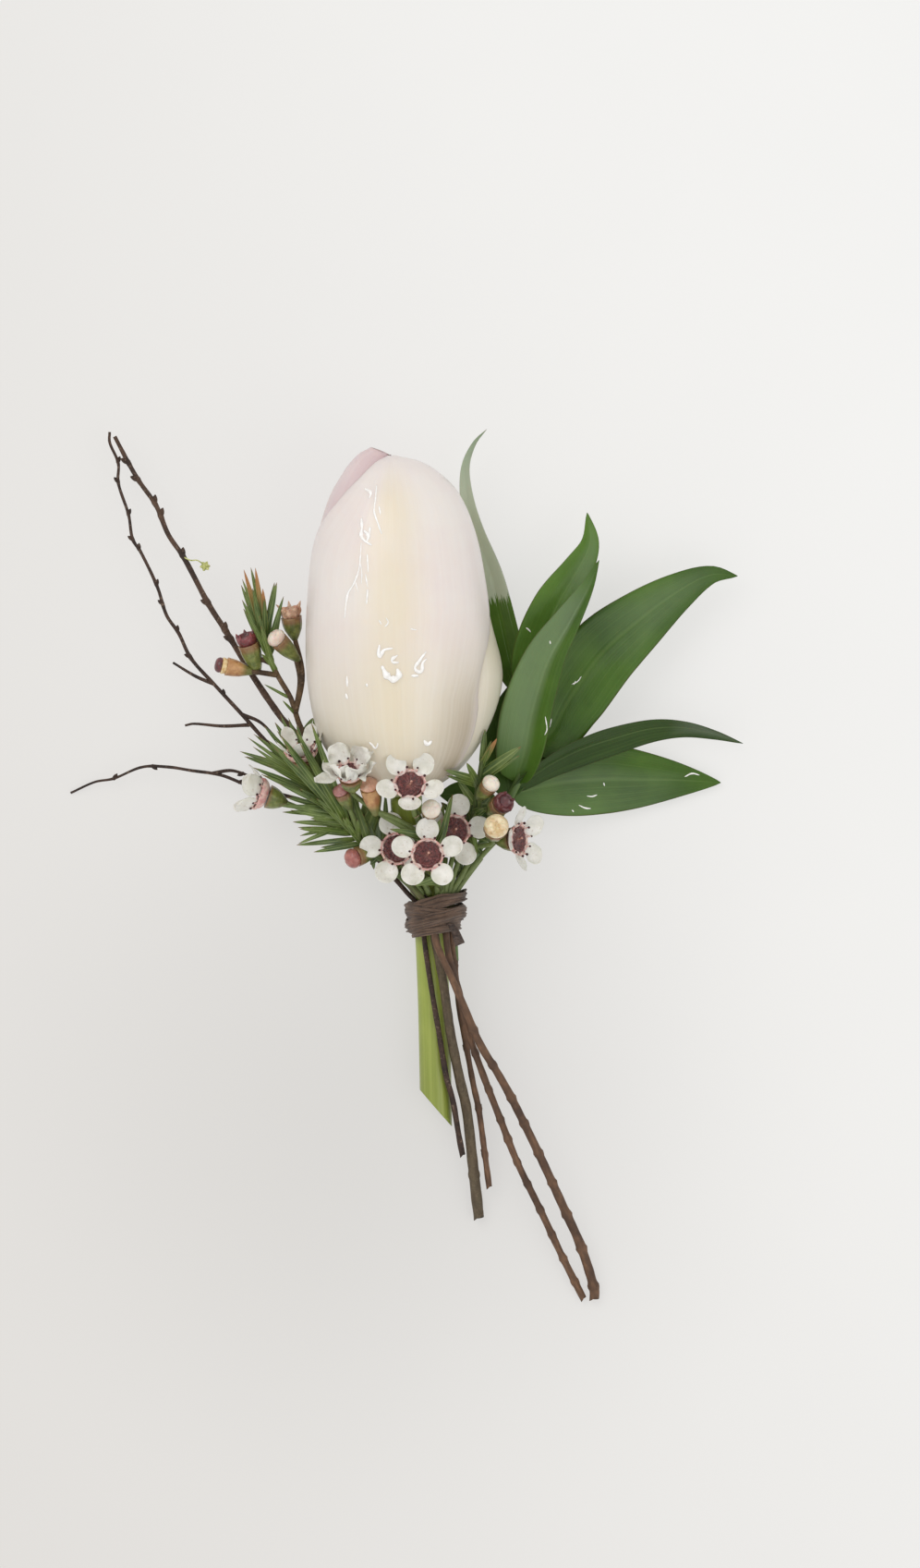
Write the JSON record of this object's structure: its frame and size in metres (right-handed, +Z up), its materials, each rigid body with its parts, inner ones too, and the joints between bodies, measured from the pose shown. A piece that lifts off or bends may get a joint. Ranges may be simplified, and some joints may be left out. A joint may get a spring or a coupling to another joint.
{
  "type": "tulip boutonniere",
  "caption": "Small hand-tied boutonniere of a tulip bud, ruscus leaves, bare twigs and waxflower sprigs bound with a ribbon, lying on its back",
  "frame": {"origin": "middle of the footprint on the surface that it lies on, under the lower half of the tulip bud", "axes": "+Z up from the surface; +Y from the stem ends to the tulip's tip; +X to the ruscus leaves' side"},
  "size_m": [0.117, 0.1517, 0.0329],
  "materials": {
    "tepal": "waxy cream and blush tepal, wet",
    "tulip_stem": "smooth pale green stem",
    "ruscus_leaf": "glossy leathery leaf with fine parallel veins",
    "bark_brown": "rough grey-brown bark",
    "bark_dark": "dark thin bark with small buds",
    "waxflower_green": "needle leaves on woody stems",
    "petal_white": "waxy white petal",
    "cup_maroon": "shiny dark red nectar cup",
    "bud_pink": "shiny pink bud",
    "bud_peach": "shiny peach bud",
    "bud_amber": "mottled amber bud",
    "withered": "dry withered bloom",
    "ribbon": "crinkled brown ribbon"
  },
  "bodies": {
    "root": {"tulip_bud": "tepal", "tulip_stem": "tulip_stem", "ruscus_sprig": "ruscus_leaf", "twig_thick": "bark_brown", "twig_thin": "bark_dark", "waxflower_sprig_left": "waxflower_green", "waxflower_sprig_centre": "waxflower_green", "waxflower_sprig_right": "waxflower_green", "bud_white_1": "petal_white", "bud_white_2": "petal_white", "bud_white_3": "petal_white", "bud_amber": "bud_amber", "bud_peach": "bud_peach", "bud_tawny": "bud_peach", "bud_pink_1": "bud_pink", "bud_pink_2": "bud_pink", "cup_spent_1": "cup_maroon", "cup_spent_2": "cup_maroon", "bloom_withered": "withered", "ribbon_binding": "ribbon", "waxflower_1_petals": "petal_white", "waxflower_2_petals": "petal_white", "waxflower_3_petals": "petal_white", "waxflower_4_petals": "petal_white", "waxflower_5_petals": "petal_white", "waxflower_6_petals": "petal_white", "waxflower_7_petals": "petal_white", "waxflower_8_petals": "petal_white", "waxflower_1_cup": "cup_maroon", "waxflower_2_cup": "cup_maroon", "waxflower_3_cup": "cup_maroon", "waxflower_4_cup": "cup_maroon", "waxflower_5_cup": "cup_maroon", "waxflower_6_cup": "cup_maroon", "waxflower_7_cup": "cup_maroon", "waxflower_8_cup": "cup_maroon"}
  },
  "joints": []
}
